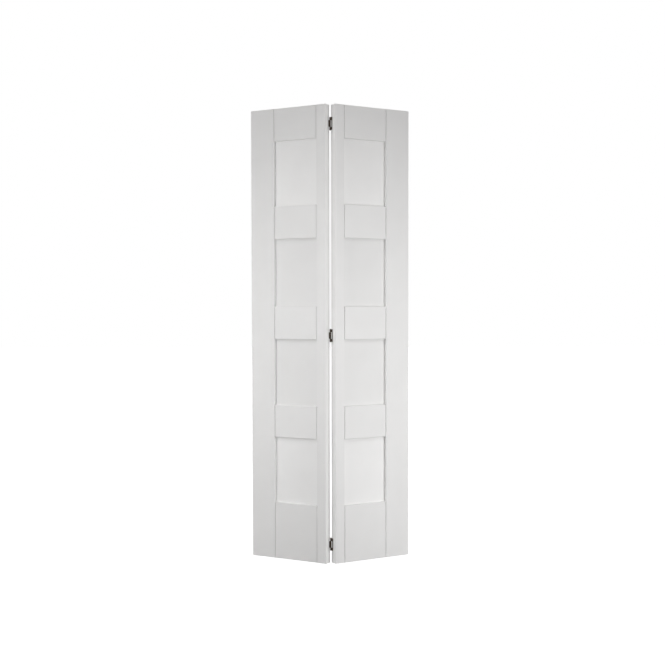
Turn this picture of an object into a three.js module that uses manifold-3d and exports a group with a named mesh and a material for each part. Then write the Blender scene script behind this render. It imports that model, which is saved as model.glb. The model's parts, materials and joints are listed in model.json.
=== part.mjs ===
// A two-leaf bifold closet door in primed timber, folded part of the way open.
// Each leaf is a stile-and-rail frame round four flat panels, and three nested
// flush hinges join the two leaves along the closet side of their meeting edges.
// Units are millimetres and degrees. +Z is up and the room is towards -Y.
import * as THREE from 'three';
import { mergeVertices } from 'three/addons/utils/BufferGeometryUtils.js';
import Module from 'manifold-3d';

const wasm = await Module();
wasm.setup();

// The whole door
const doorHeight = 1981;
const doorWidth = 762; // over both leaves when they are flat
const doorThickness = 35;
const leafTurn = 30; // how far each leaf stands from flat

// Stiles and rails
const outerStileWidth = 120;
const hingeStileWidth = 46;
const topRailHeight = 142;
const midRailHeight = 143;
const bottomRailHeight = 250;
const upperRailLift = 6; // how far the upper rail stands above even spacing
const arrisRadius = 2; // eased long edges of the stiles
const railArris = 1; // chamfer on the rail edges beside a panel
const jointChamfer = 1.2; // each half of the V that marks where a rail meets a stile

// Flat panels and the grooves that hold them
const panelThickness = 9;
const panelBevel = 1.5; // lets the board's edge find its groove
const grooveDepth = 12;
const panelRoom = 1; // left at the bottom of the groove for the board to move

// Dowels in the frame joints
const dowelRadius = 5;
const dowelLength = 60; // half in the rail and half in the stile
const dowelInset = 36; // from the rail's edge to the first dowel
const dowelSpacing = 90; // the least height that one dowel takes

// Bores for a track's pivots and guide, in the ends of the outer stiles
const pivotBoreRadius = 5;
const pivotBoreDepth = 45;
const pivotBoreInset = 20; // from the leaf's outer edge

// Flush hinges
const hingeHeight = 55;
const hingeInset = 80; // from the door's end to the middle of a hinge
const plateThickness = 2;
const outerReach = 16.5; // from the pin's axis to the end of the cut-out leaf
const innerReach = 12.5; // from the pin's axis to the end of the nested leaf
const armHeight = 13; // each arm of the cut-out leaf
const plateCorner = 1.5;
const axisSetback = 5.1; // from the back of the door to the pin's axis
const pinRadius = 1.4;
const pinHeadRadius = 2.4;
const pinHeadHeight = 0.8;
const knuckleWall = 1.6;
const curlSlit = 0.3; // between the end of a curl and the plate that it comes from

// Countersunk hinge screws
const screwRadius = 1.4;
const screwHeadRadius = 2.7;
const screwHeadSink = 0.1; // below the face of the plate
const screwLength = 19;
const screwTipLength = 4;

// Clearances
const seatGap = 0.3; // between pieces that seat on or in each other
const nestGap = 0.5; // round the nested leaf of a hinge
const cutOverrun = 2; // how far a cutter runs past the face that it opens
const weldDistance = 1e-4;

// How finely curves are cut
const arrisSteps = 3;
const dowelSides = 12;
const barrelSides = 24;
const screwSides = 16;

// Sizes that follow from the ones above
const halfHeight = doorHeight / 2;
const halfThickness = doorThickness / 2;
const halfPlate = plateThickness / 2;
const closedGap = plateThickness + 2 * seatGap;
const leafWidth = (doorWidth - closedGap) / 2;
const grooveWidth = panelThickness + 2 * seatGap;
const openingStart = hingeStileWidth;
const openingEnd = leafWidth - outerStileWidth;
const pinBoreRadius = pinRadius + seatGap;
const knuckleRadius = pinBoreRadius + knuckleWall;
const halfHinge = hingeHeight / 2;
const innerHalfHeight = halfHinge - armHeight - seatGap;
const quarterTurn = Math.PI / 2;
const halfTurn = Math.PI;

// Finishes
const primedTimber = { color: 0xe3e2e0, roughness: 0.55, metalness: 0 };
const primedBoard = { color: 0xe8e7e5, roughness: 0.5, metalness: 0 };
const bronzedSteel = { color: 0x443a30, roughness: 0.45, metalness: 0.7 };

// A closed geometry as a solid that can be joined and cut
function toSolid(geometry) {
  geometry.deleteAttribute('normal');
  geometry.deleteAttribute('uv');
  const merged = mergeVertices(geometry, weldDistance);
  const mesh = new wasm.Mesh({
    numProp: 3,
    vertProperties: new Float32Array(merged.attributes.position.array),
    triVerts: new Uint32Array(merged.index.array),
  });
  return new wasm.Manifold(mesh);
}

// A solid back as a geometry that a mesh can show
function toGeometry(solid) {
  const mesh = solid.getMesh();
  const geometry = new THREE.BufferGeometry();
  geometry.setAttribute('position', new THREE.BufferAttribute(mesh.vertProperties, mesh.numProp));
  geometry.setIndex(new THREE.BufferAttribute(mesh.triVerts, 1));
  geometry.computeVertexNormals();
  return geometry;
}

function namedMesh(name, geometry, finish) {
  const mesh = new THREE.Mesh(geometry, new THREE.MeshStandardMaterial(finish));
  mesh.name = name;
  return mesh;
}

function outline(points) {
  return new THREE.Shape(points.map(([x, y]) => new THREE.Vector2(x, y)));
}

// A profile of radius and height turned round the Y axis
function turned(points, sides) {
  return new THREE.LatheGeometry(points.map(([x, y]) => new THREE.Vector2(x, y)), sides);
}

// An outline drawn in plan and raised along Z from the given height
function raised(shape, bottom, height, curveSegments = arrisSteps) {
  const geometry = new THREE.ExtrudeGeometry(shape, {
    depth: height, bevelEnabled: false, curveSegments,
  });
  return geometry.translate(0, 0, bottom);
}

// An outline drawn across Y and Z and run along X
const alongX = new THREE.Matrix4().makeBasis(
  new THREE.Vector3(0, 1, 0), new THREE.Vector3(0, 0, 1), new THREE.Vector3(1, 0, 0),
);

function runAlongX(shape, start, end, curveSegments = arrisSteps) {
  const geometry = new THREE.ExtrudeGeometry(shape, {
    depth: end - start, bevelEnabled: false, curveSegments,
  });
  return geometry.applyMatrix4(alongX).translate(start, 0, 0);
}

// A round bar or cutter along X between two places
function roundAlongX(radius, start, end, y, z, sides = dowelSides) {
  const bar = new THREE.CylinderGeometry(radius, radius, Math.abs(end - start), sides);
  return bar.rotateZ(quarterTurn).translate((start + end) / 2, y, z);
}

// Stile: a square-edged bar with a groove down its inner edge. Its outer long
// edges are rounded, and its inner ones are chamfered for the V at each joint.
function stileOutline(grooved, plain) {
  const out = Math.sign(plain - grooved);
  const shape = new THREE.Shape();
  shape.moveTo(grooved + out * jointChamfer, -halfThickness);
  shape.lineTo(plain - out * arrisRadius, -halfThickness);
  shape.quadraticCurveTo(plain, -halfThickness, plain, -halfThickness + arrisRadius);
  shape.lineTo(plain, halfThickness - arrisRadius);
  shape.quadraticCurveTo(plain, halfThickness, plain - out * arrisRadius, halfThickness);
  shape.lineTo(grooved + out * jointChamfer, halfThickness);
  shape.lineTo(grooved, halfThickness - jointChamfer);
  shape.lineTo(grooved, grooveWidth / 2);
  shape.lineTo(grooved + out * grooveDepth, grooveWidth / 2);
  shape.lineTo(grooved + out * grooveDepth, -grooveWidth / 2);
  shape.lineTo(grooved, -grooveWidth / 2);
  shape.lineTo(grooved, -halfThickness + jointChamfer);
  return shape;
}

// The heights of the rails and of the panel openings between them, from the floor up
function frameLayout() {
  const rails = [
    { name: 'bottom', height: bottomRailHeight },
    { name: 'lower', height: midRailHeight },
    { name: 'middle', height: midRailHeight },
    { name: 'upper', height: midRailHeight },
    { name: 'top', height: topRailHeight },
  ];
  const railTotal = rails.reduce((sum, rail) => sum + rail.height, 0);
  const evenOpening = (doorHeight - railTotal) / (rails.length - 1);
  const panels = [
    { name: 'bottom', height: evenOpening },
    { name: 'lower', height: evenOpening },
    { name: 'upper', height: evenOpening + upperRailLift },
    { name: 'top', height: evenOpening - upperRailLift },
  ];
  let z = 0;
  rails.forEach((rail, i) => {
    rail.bottom = z;
    z += rail.height;
    if (panels[i]) {
      panels[i].bottom = z;
      z += panels[i].height;
    }
  });
  return { rails, panels };
}

// The heights of a rail's dowels: evenly spread between the two insets
function dowelHeights(rail) {
  const count = Math.max(2, Math.round(rail.height / dowelSpacing));
  const first = rail.bottom + dowelInset;
  const span = rail.height - 2 * dowelInset;
  return Array.from({ length: count }, (_, i) => first + (span * i) / (count - 1));
}

function stile(grooved, plain, rails) {
  const inward = Math.sign(plain - grooved);
  let body = toSolid(raised(stileOutline(grooved, plain), 0, doorHeight));
  for (const rail of rails) {
    for (const z of dowelHeights(rail)) {
      const mouth = grooved - inward * cutOverrun;
      const end = grooved + (inward * dowelLength) / 2;
      body = body.subtract(toSolid(roundAlongX(dowelRadius + seatGap, mouth, end, 0, z)));
    }
  }
  return body;
}

// Blind bores for pivots in the top and bottom ends of an outer stile
function boredForPivots(body) {
  const length = pivotBoreDepth + cutOverrun;
  for (const z of [(pivotBoreDepth - cutOverrun) / 2, doorHeight - (pivotBoreDepth - cutOverrun) / 2]) {
    const cutter = new THREE.CylinderGeometry(pivotBoreRadius, pivotBoreRadius, length, dowelSides);
    cutter.rotateX(quarterTurn).translate(leafWidth - pivotBoreInset, 0, z);
    body = body.subtract(toSolid(cutter));
  }
  return body;
}

// Rail: its plan gives the shoulders, their chamfers and the tongue that fills the
// stile's groove, and its cross-section gives the panel grooves and the eased edges.
function railPlan() {
  const start = openingStart + seatGap;
  const end = openingEnd - seatGap;
  const tongue = grooveDepth - 2 * seatGap;
  const half = panelThickness / 2;
  const side = [
    [start + jointChamfer, -halfThickness], [start, -halfThickness + jointChamfer],
    [start, -half], [start - tongue, -half], [start - tongue, half], [start, half],
    [start, halfThickness - jointChamfer], [start + jointChamfer, halfThickness],
  ];
  const otherSide = side.map(([x, y]) => [start + end - x, y]).reverse();
  return outline([...side, ...otherSide]);
}

function railSection(rail, isBottom, isTop) {
  const low = rail.bottom;
  const high = rail.bottom + rail.height;
  const half = grooveWidth / 2;
  const groove = (edge, floor) => [[-half, edge], [-half, floor], [half, floor], [half, edge]];
  return outline([
    [-halfThickness, low + railArris], [-halfThickness + railArris, low],
    ...(isBottom ? [] : groove(low, low + grooveDepth)),
    [halfThickness - railArris, low], [halfThickness, low + railArris],
    [halfThickness, high - railArris], [halfThickness - railArris, high],
    ...(isTop ? [] : groove(high, high - grooveDepth).reverse()),
    [-halfThickness + railArris, high], [-halfThickness, high - railArris],
  ]);
}

function rail(item, isBottom, isTop) {
  const plan = toSolid(raised(railPlan(), item.bottom, item.height));
  const section = runAlongX(railSection(item, isBottom, isTop), 0, leafWidth);
  let body = plan.intersect(toSolid(section));
  const half = dowelLength / 2;
  for (const shoulder of [openingStart + seatGap, openingEnd - seatGap]) {
    for (const z of dowelHeights(item)) {
      body = body.add(toSolid(roundAlongX(dowelRadius, shoulder - half, shoulder + half, 0, z)));
    }
  }
  return body;
}

// Panel: a flat board whose bevelled edges sit in the grooves all round
function panel(item) {
  const intoGroove = grooveDepth - panelRoom;
  const left = openingStart - intoGroove;
  const right = openingEnd + intoGroove;
  const low = item.bottom - intoGroove;
  const high = item.bottom + item.height + intoGroove;
  const front = outline([[left, low], [right, low], [right, high], [left, high]]);
  const board = new THREE.ExtrudeGeometry(front, {
    depth: panelThickness - 2 * panelBevel,
    bevelEnabled: true,
    bevelThickness: panelBevel,
    bevelSize: panelBevel,
    bevelOffset: -panelBevel,
    bevelSegments: 1,
  });
  board.rotateX(quarterTurn).translate(0, panelThickness / 2 - panelBevel, 0);
  return toSolid(board);
}

// Hinges. Each plate is drawn on the plane through the pin, reaching from the pin
// towards the room, so that the nested leaf closes into the cut-out of the other.
const hingeLevels = [
  { name: 'bottom', z: hingeInset },
  { name: 'middle', z: halfHeight },
  { name: 'top', z: doorHeight - hingeInset },
];
const armLevel = halfHinge - armHeight / 2;
const outerScrews = { reach: (outerReach + axisSetback) / 2, levels: [-armLevel, armLevel] };
const innerScrews = {
  reach: (innerReach + axisSetback) / 2,
  levels: [-innerHalfHeight / 2, innerHalfHeight / 2],
};

// One knuckle: the strip is rolled round the pin and stops just short of itself
function curl(low, height, side) {
  const edge = halfPlate + curlSlit;
  const ring = new THREE.Shape();
  const outerStart = Math.asin(edge / knuckleRadius);
  const innerStart = Math.asin(edge / pinBoreRadius);
  const at = (radius, angle) => new THREE.Vector2(side * radius * Math.sin(angle), -radius * Math.cos(angle));
  const sweep = (radius, start, end) => {
    const step = (end - start) / barrelSides;
    return Array.from({ length: barrelSides + 1 }, (_, i) => at(radius, start + i * step));
  };
  const fullTurn = 2 * halfTurn;
  ring.setFromPoints([
    ...sweep(knuckleRadius, outerStart, fullTurn),
    ...sweep(pinBoreRadius, fullTurn, innerStart),
  ]);
  return toSolid(raised(ring, low, height));
}

function roundedEnd(shape, reach, high, low) {
  shape.lineTo(reach - plateCorner, high);
  shape.quadraticCurveTo(reach, high, reach, high - plateCorner);
  shape.lineTo(reach, low + plateCorner);
  shape.quadraticCurveTo(reach, low, reach - plateCorner, low);
}

// A plate outline in reach and height, stood on the plane through the pin
function plate(shape) {
  const geometry = new THREE.ExtrudeGeometry(shape, {
    depth: plateThickness, bevelEnabled: false, curveSegments: arrisSteps,
  });
  geometry.translate(0, 0, -halfPlate).rotateX(quarterTurn).rotateZ(-quarterTurn);
  return toSolid(geometry);
}

function cutOutPlate() {
  const root = pinBoreRadius;
  const window = innerReach + nestGap;
  const sill = halfHinge - armHeight;
  const shape = new THREE.Shape();
  shape.moveTo(root, halfHinge);
  roundedEnd(shape, outerReach, halfHinge, -halfHinge);
  shape.lineTo(root, -halfHinge);
  shape.lineTo(root, -sill);
  shape.lineTo(window, -sill);
  shape.lineTo(window, sill);
  shape.lineTo(root, sill);
  return plate(shape);
}

function nestedPlate() {
  const root = pinBoreRadius;
  const shape = new THREE.Shape();
  shape.moveTo(root, innerHalfHeight);
  roundedEnd(shape, innerReach, innerHalfHeight, -innerHalfHeight);
  shape.lineTo(root, -innerHalfHeight);
  return plate(shape);
}

// The outline from a screw's countersunk rim to its point, with room all round
function screwSide(room) {
  const neck = screwHeadSink + screwHeadRadius - screwRadius;
  const tip = screwLength + room;
  return [
    [screwHeadRadius + room, screwHeadSink], [screwRadius + room, neck],
    [screwRadius + room, tip - screwTipLength], [0, tip],
  ];
}

function screw() {
  return turned([[0, screwHeadSink], ...screwSide(0)], screwSides);
}

// The countersink, clearance hole and pilot hole that a screw passes through
function screwHole() {
  const mouth = [[0, -cutOverrun], [screwHeadRadius + seatGap, -cutOverrun]];
  return turned([...mouth, ...screwSide(seatGap)], screwSides);
}

// A screw or its hole, placed in a plate: side is the way that it points along X
function inPlate(form, side, reach, z) {
  return toSolid(form.rotateZ(-side * quarterTurn).translate(-side * halfPlate, -reach, z));
}

function drilled(body, side, screws) {
  for (const level of screws.levels) {
    body = body.subtract(inPlate(screwHole(), side, screws.reach, level));
  }
  return body;
}

function outerHingeLeaf(side) {
  const body = cutOutPlate()
    .add(curl(halfHinge - armHeight, armHeight, side))
    .add(curl(-halfHinge, armHeight, side));
  return drilled(body, side, outerScrews);
}

function innerHingeLeaf(side) {
  const body = nestedPlate().add(curl(-innerHalfHeight, 2 * innerHalfHeight, side));
  return drilled(body, side, innerScrews);
}

// Pin: a plain shaft whose two ends are peened over into low domes
function hingePin() {
  const half = halfHinge + seatGap;
  const end = half + pinHeadHeight;
  const neck = pinHeadRadius - pinHeadHeight;
  const profile = [
    [0, -end], [neck, -end], [pinHeadRadius, -half - pinHeadHeight / 2], [pinHeadRadius, -half],
    [pinRadius, -half], [pinRadius, half],
    [pinHeadRadius, half], [pinHeadRadius, half + pinHeadHeight / 2], [neck, end], [0, end],
  ];
  return toSolid(turned(profile, barrelSides).rotateX(quarterTurn));
}

// Pilot holes for the hinge screws, bored into the hinge stile's edge
function pilotBored(body, screws, back) {
  const y = back * (halfThickness + axisSetback - screws.reach);
  for (const hinge of hingeLevels) {
    for (const level of screws.levels) {
      const hole = screwHole().rotateZ(-quarterTurn);
      hole.translate(-closedGap / 2 - halfPlate, y, hinge.z + level);
      body = body.subtract(toSolid(hole));
    }
  }
  return body;
}

// One leaf's timber, from its meeting edge at X = 0 outwards, centred on its
// thickness. back says which way along Y the hinge screws are offset.
function timberLeaf(name, screws, back) {
  const leaf = new THREE.Group();
  const { rails, panels } = frameLayout();
  const hingeStile = pilotBored(stile(openingStart, 0, rails), screws, back);
  const outerStile = boredForPivots(stile(openingEnd, leafWidth, rails));
  leaf.add(namedMesh(`${name}_hinge_stile`, toGeometry(hingeStile), primedTimber));
  leaf.add(namedMesh(`${name}_outer_stile`, toGeometry(outerStile), primedTimber));
  rails.forEach((item, i) => {
    const solid = rail(item, i === 0, i === rails.length - 1);
    leaf.add(namedMesh(`${name}_${item.name}_rail`, toGeometry(solid), primedTimber));
  });
  for (const item of panels) {
    leaf.add(namedMesh(`${name}_${item.name}_panel`, toGeometry(panel(item)), primedBoard));
  }
  return leaf;
}

// One side of the door, turning about the pins: its timber, and its half of each
// hinge. Both faces of a leaf are alike, so the left one is the right one turned
// half round.
function doorSide(name, sign, screws, hingePieces) {
  const turning = new THREE.Group();
  const leaf = timberLeaf(name, screws, sign);
  leaf.position.set((sign * closedGap) / 2, -axisSetback - halfThickness, 0);
  leaf.rotation.z = sign < 0 ? halfTurn : 0;
  turning.add(leaf);
  for (const hinge of hingeLevels) {
    for (const [piece, solid] of Object.entries(hingePieces)) {
      const mesh = namedMesh(`${hinge.name}_hinge_${piece}`, toGeometry(solid), bronzedSteel);
      mesh.position.z = hinge.z;
      turning.add(mesh);
    }
  }
  turning.rotation.z = sign * THREE.MathUtils.degToRad(leafTurn);
  return turning;
}

const leftPieces = {
  inner_leaf: innerHingeLeaf(-1),
  left_screw_low: inPlate(screw(), -1, innerScrews.reach, innerScrews.levels[0]),
  left_screw_high: inPlate(screw(), -1, innerScrews.reach, innerScrews.levels[1]),
};
const rightPieces = {
  outer_leaf: outerHingeLeaf(1),
  pin: hingePin(),
  right_screw_low: inPlate(screw(), 1, outerScrews.reach, outerScrews.levels[0]),
  right_screw_high: inPlate(screw(), 1, outerScrews.reach, outerScrews.levels[1]),
};

const door = new THREE.Group();
door.add(doorSide('left', -1, innerScrews, leftPieces));
door.add(doorSide('right', 1, outerScrews, rightPieces));

// The origin is on the floor under the middle of the folded door
const box = new THREE.Box3().setFromObject(door, true);
const middle = box.getCenter(new THREE.Vector3());
door.position.set(-middle.x, -middle.y, -box.min.z);
door.updateMatrixWorld(true);

export default door;
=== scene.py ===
# %% [markdown]
# # A bifold closet door, from solids to a studio picture
# The door has two leaves, folded part of the way, so that their meeting edges point
# at the camera. Its solids already have their real size and place. This lesson models
# the pieces whose fine form shows, finishes every surface, and lights the door as a
# catalogue would. Lengths are in metres, and small ones are written in millimetres.

# %% The solids and the box that they fill
import json
import math

import bmesh
import bpy
from mathutils import Matrix, Vector


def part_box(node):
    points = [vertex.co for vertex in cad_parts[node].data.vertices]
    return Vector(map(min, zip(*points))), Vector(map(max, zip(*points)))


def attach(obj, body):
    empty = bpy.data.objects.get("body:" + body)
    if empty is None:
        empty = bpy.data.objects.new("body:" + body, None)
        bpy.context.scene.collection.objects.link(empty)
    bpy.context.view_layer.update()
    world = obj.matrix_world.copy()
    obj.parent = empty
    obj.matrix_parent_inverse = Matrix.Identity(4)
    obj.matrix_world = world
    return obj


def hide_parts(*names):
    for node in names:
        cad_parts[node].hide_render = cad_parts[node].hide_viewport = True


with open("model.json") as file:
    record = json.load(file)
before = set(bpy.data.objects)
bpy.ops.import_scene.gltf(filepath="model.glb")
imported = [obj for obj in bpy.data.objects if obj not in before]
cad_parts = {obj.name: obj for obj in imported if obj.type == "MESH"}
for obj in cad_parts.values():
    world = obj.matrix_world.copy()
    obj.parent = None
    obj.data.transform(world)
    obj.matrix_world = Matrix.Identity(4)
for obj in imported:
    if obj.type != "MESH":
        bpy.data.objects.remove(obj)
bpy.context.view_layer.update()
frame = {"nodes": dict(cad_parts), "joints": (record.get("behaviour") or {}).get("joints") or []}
MM = 0.001

# %% [markdown]
# ## The camera
# The picture is taken from five metres away with the lens a little over a metre from
# the floor, looking slightly down. The uprights then draw together a little towards
# the floor. A small shift of the lens keeps the door in the middle of the square.

# %% The camera
CAMERA_PLACE = (-0.040, -4.998, 1.093)
CAMERA_TURN = (87.617, 0.105, -0.569)    # degrees about x, y and z
CAMERA_LENS = 61.50    # millimetres
CAMERA_SHIFT = 0.04    # of the picture's width
DOOR_MIDDLE = Vector((0, 0, 1))

bpy.ops.object.camera_add(
    location=CAMERA_PLACE, rotation=[math.radians(turn) for turn in CAMERA_TURN])
camera = bpy.context.object
camera.name = "camera"
camera.data.lens = CAMERA_LENS
camera.data.shift_y = CAMERA_SHIFT
bpy.context.scene.camera = camera
bpy.context.scene.view_settings.view_transform = "Standard"
print("The camera is", round((Vector(CAMERA_PLACE) - DOOR_MIDDLE).length, 2), "m away")

# %% [markdown]
# ## Working on a flat door
# A joiner makes each leaf flat on a bench and folds the door afterwards. The same
# holds here: every piece is modelled as if both leaves were flat, with the hinge pins
# standing on the origin, and is turned to its leaf's place at the end. The solids say
# where everything is: turned back flat, a square-edged piece is as large as its box.

# %% Between the flat door and the folded one
LEAF_TURN = 30.0
TURN_SIGN = {"left": -1, "right": 1}
pin_axis = Vector((*frame["joints"][0]["pos_m"][:2], 0))


def fold(side):
    """The move that takes a flat leaf to its place in the folded door."""
    turn = math.radians(TURN_SIGN[side] * LEAF_TURN)
    return Matrix.Translation(pin_axis) @ Matrix.Rotation(turn, 4, "Z")


def box_of(points):
    """The lowest and the highest corner of the box round some points."""
    return [Vector(map(extreme, zip(*points))) for extreme in (min, max)]


def flat_box(node, side):
    """A solid's box with its leaf turned flat."""
    unfold = fold(side).inverted()
    return box_of([unfold @ vertex.co for vertex in frame["nodes"][node].data.vertices])


for side in TURN_SIGN:
    low, high = flat_box(f"{side}_outer_stile", side)
    print(f"The flat {side} outer stile measures", *[round(x / MM, 1) for x in high - low], "mm")

# %% [markdown]
# ## Colours and nodes
# A finish is a small network of nodes. Colours are written as on a paint card, in hex,
# and turned to the linear values that a shader works with. One function adds a node:
# each of its inputs takes a value or the output of another node.

# %% A colour and a node
def linear(hex_code):
    """An sRGB hex colour as the linear colour that a shader takes."""
    channels = [int(hex_code[i:i + 2], 16) / 255 for i in (1, 3, 5)]
    turned = [c / 12.92 if c <= 0.04045 else ((c + 0.055) / 1.055) ** 2.4 for c in channels]
    return (*turned, 1.0)


def dress(node, tree, inputs):
    """Gives each input that is named its value, or links it to another node's output."""
    for socket, value in inputs.items():
        if isinstance(value, bpy.types.NodeSocket):
            tree.links.new(value, node.inputs[socket])
        else:
            node.inputs[socket].default_value = value


def add_node(tree, kind, inputs=None, **settings):
    """Adds a node with its settings and its inputs."""
    node = tree.nodes.new(kind)
    for name, value in settings.items():
        setattr(node, name, value)
    dress(node, tree, inputs or {})
    return node


def new_finish(name):
    """A new material, its node tree and its shader."""
    finish = bpy.data.materials.new(name)
    finish.use_nodes = True
    return finish, finish.node_tree, finish.node_tree.nodes["Principled BSDF"]


MIX_FACTOR, MIX_LIGHT, MIX_DARK, MIX_RESULT = 0, 6, 7, 2    # a Mix node's colour sockets
NOISE_LOW, NOISE_HIGH = 0.3, 0.7    # a noise is mostly between these
print("White primer in linear light:", [round(c, 3) for c in linear("#E6E6E5")[:3]])

# %% [markdown]
# ## White primer on timber
# The frame is planed timber, sprayed with a white water-based acrylic primer and rubbed
# down with fine paper before it is packed. The buyer paints over it, so it is matt. The
# eye finds four things in it: a very soft mottle of shade and sheen, a hand's breadth
# across; orange peel, where the spray has dried before it could level; wood fibres that
# the water raised along the grain; and here and there a nib of dust under the film. It
# could be one flat colour with some noise, but then a close view shows plastic. Each
# cause gets its own pattern instead, at its own size. The marks of the spray come first.

# %% Mottle, orange peel and dust
MOTTLE_SIZE = 90 * MM
PEEL_SIZE = 2.5 * MM
PEEL_HEIGHT = 0.012 * MM
NIB_SPACING = 70 * MM
NIB_RADIUS = 0.7 * MM
NIB_HEIGHT = 0.06 * MM


def spray_marks(tree, place):
    """A sprayed film's mottle, and its height with orange peel and nibs of dust."""
    mottle = add_node(tree, "ShaderNodeTexNoise", {
        "Vector": place, "Scale": 1 / MOTTLE_SIZE, "Detail": 3, "Roughness": 0.45}).outputs[0]
    peel = add_node(tree, "ShaderNodeTexNoise", {
        "Vector": place, "Scale": 1 / PEEL_SIZE, "Detail": 1}).outputs[0]
    cell = add_node(tree, "ShaderNodeTexVoronoi", {"Vector": place, "Scale": 1 / NIB_SPACING})
    nib = add_node(tree, "ShaderNodeMapRange", {
        "Value": cell.outputs["Distance"], "From Min": 0, "From Max": NIB_RADIUS / NIB_SPACING,
        "To Min": NIB_HEIGHT, "To Max": 0}, interpolation_type="SMOOTHSTEP").outputs[0]
    height = add_node(tree, "ShaderNodeMath", {0: peel, 1: PEEL_HEIGHT, 2: nib},
                      operation="MULTIPLY_ADD").outputs[0]
    return mottle, height


# %% [markdown]
# The raised fibres are a noise that is stretched along the grain. They are about half a
# millimetre wide on the real door. They are drawn four times as coarse, or the picture
# would lose them. Fibres that stand up hold less paint, so they also join the mottle.

# %% Raised fibres
FIBRE_WIDTH = 2 * MM
FIBRE_LENGTH = 160 * MM
FIBRE_HEIGHT = 0.025 * MM
FIBRE_SHARE = 0.35


def grain_scale(along, length, width):
    """The scale at which a pattern is this long along the grain, and this wide across it."""
    return [1 / length if axis == along else 1 / width for axis in "xyz"]


def raise_fibres(tree, place, along, mottle, height):
    """Adds fibres that run along one axis to a film's mottle and height."""
    fibre_place = add_node(tree, "ShaderNodeMapping", {
        "Vector": place, "Scale": grain_scale(along, FIBRE_LENGTH, FIBRE_WIDTH)}).outputs[0]
    fibre = add_node(tree, "ShaderNodeTexNoise", {
        "Vector": fibre_place, "Scale": 1, "Detail": 2, "Roughness": 0.6}).outputs[0]
    mottle = add_node(tree, "ShaderNodeMix", {
        "Factor": FIBRE_SHARE, "A": mottle, "B": fibre}).outputs[0]
    height = add_node(tree, "ShaderNodeMath", {0: fibre, 1: FIBRE_HEIGHT, 2: height},
                      operation="MULTIPLY_ADD").outputs[0]
    return mottle, height


# %% [markdown]
# An upright's two ends are end grain, whose open pores drink the primer, so it is
# darker and duller there. Those ends are the only faces that look straight up or down,
# so a face's normal tells where the grain is cut, and a fine noise stands for the pores.

# %% End grain
END_GRAIN_PORE = 0.8 * MM
END_GRAIN_SHADE = "#C9C4BC"
END_GRAIN_ROUGHNESS = 0.75
LEVEL_FROM, LEVEL_TO = 0.8, 0.95    # how far up or down a face looks
PORE_FROM, PORE_TO = 0.35, 0.65
LEAST_SOAKED = 0.2


def soak_end_grain(tree, coordinates, place, colour, rough):
    """Darkens and dulls a film where it lies on end grain."""
    up = add_node(tree, "ShaderNodeSeparateXYZ", {
        "Vector": coordinates.outputs["Normal"]}).outputs["Z"]
    level = add_node(tree, "ShaderNodeMath", {0: up}, operation="ABSOLUTE").outputs[0]
    thirst = add_node(tree, "ShaderNodeMapRange", {
        "Value": level, "From Min": LEVEL_FROM, "From Max": LEVEL_TO}).outputs[0]
    pores = add_node(tree, "ShaderNodeTexNoise", {
        "Vector": place, "Scale": 1 / END_GRAIN_PORE, "Detail": 2}).outputs[0]
    open_pores = add_node(tree, "ShaderNodeMath", {0: pores, 1: level},
                          operation="MULTIPLY").outputs[0]
    soaked = add_node(tree, "ShaderNodeMapRange", {
        "Value": open_pores, "From Min": PORE_FROM, "From Max": PORE_TO,
        "To Min": LEAST_SOAKED}).outputs[0]
    drunk = add_node(tree, "ShaderNodeMath", {0: soaked, 1: thirst},
                     operation="MULTIPLY").outputs[0]
    colour = add_node(tree, "ShaderNodeMix", {
        MIX_FACTOR: drunk, MIX_LIGHT: colour, MIX_DARK: linear(END_GRAIN_SHADE)},
        data_type="RGBA").outputs[MIX_RESULT]
    rough = add_node(tree, "ShaderNodeMix", {
        "Factor": thirst, "A": rough, "B": END_GRAIN_ROUGHNESS}).outputs[0]
    return colour, rough


# %% [markdown]
# The whole finish puts these together. Its coordinates are turned with the leaf, so
# that the grain can run along a rail. The uprights' grain needs no turn, because it
# runs along the axis that the leaves turn about.

# %% Sprayed primer
ACRYLIC_IOR = 1.49
FRAME_LIGHT, FRAME_SHADE = "#E6E6E5", "#E0E0DF"
FRAME_ROUGHNESS = (0.55, 0.65)


def primer_finish(name, light, shade, roughness, leaf_turn=0.0, along=None, end_grain=False):
    """Sprayed primer, with raised fibres along one axis of the leaf if it is on timber."""
    finish, tree, shader = new_finish(name)
    coordinates = add_node(tree, "ShaderNodeTexCoord")
    place = add_node(tree, "ShaderNodeMapping", {
        "Vector": coordinates.outputs["Object"],
        "Rotation": (0, 0, math.radians(-leaf_turn))}).outputs[0]
    tone, height = spray_marks(tree, place)
    if along:
        tone, height = raise_fibres(tree, place, along, tone, height)
    colour = add_node(tree, "ShaderNodeMix", {
        MIX_FACTOR: tone, MIX_LIGHT: linear(light), MIX_DARK: linear(shade)},
        data_type="RGBA").outputs[MIX_RESULT]
    rough = add_node(tree, "ShaderNodeMapRange", {
        "Value": tone, "From Min": NOISE_LOW, "From Max": NOISE_HIGH,
        "To Min": roughness[0], "To Max": roughness[1]}).outputs[0]
    if end_grain:
        colour, rough = soak_end_grain(tree, coordinates, place, colour, rough)
    relief = add_node(tree, "ShaderNodeBump", {"Height": height, "Distance": 1.0}).outputs[0]
    dress(shader, tree, {
        "Base Color": colour, "Roughness": rough, "Normal": relief, "IOR": ACRYLIC_IOR})
    return finish


upright_primer = primer_finish("acrylic_primer_on_upright_timber", FRAME_LIGHT, FRAME_SHADE,
                               FRAME_ROUGHNESS, along="z", end_grain=True)
rail_primer = {side: primer_finish(f"acrylic_primer_on_{side}_rails", FRAME_LIGHT, FRAME_SHADE,
                                   FRAME_ROUGHNESS, TURN_SIGN[side] * LEAF_TURN, along="x")
               for side in TURN_SIGN}
print("Primer on timber:", upright_primer.name, *[finish.name for finish in rail_primer.values()])

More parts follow.
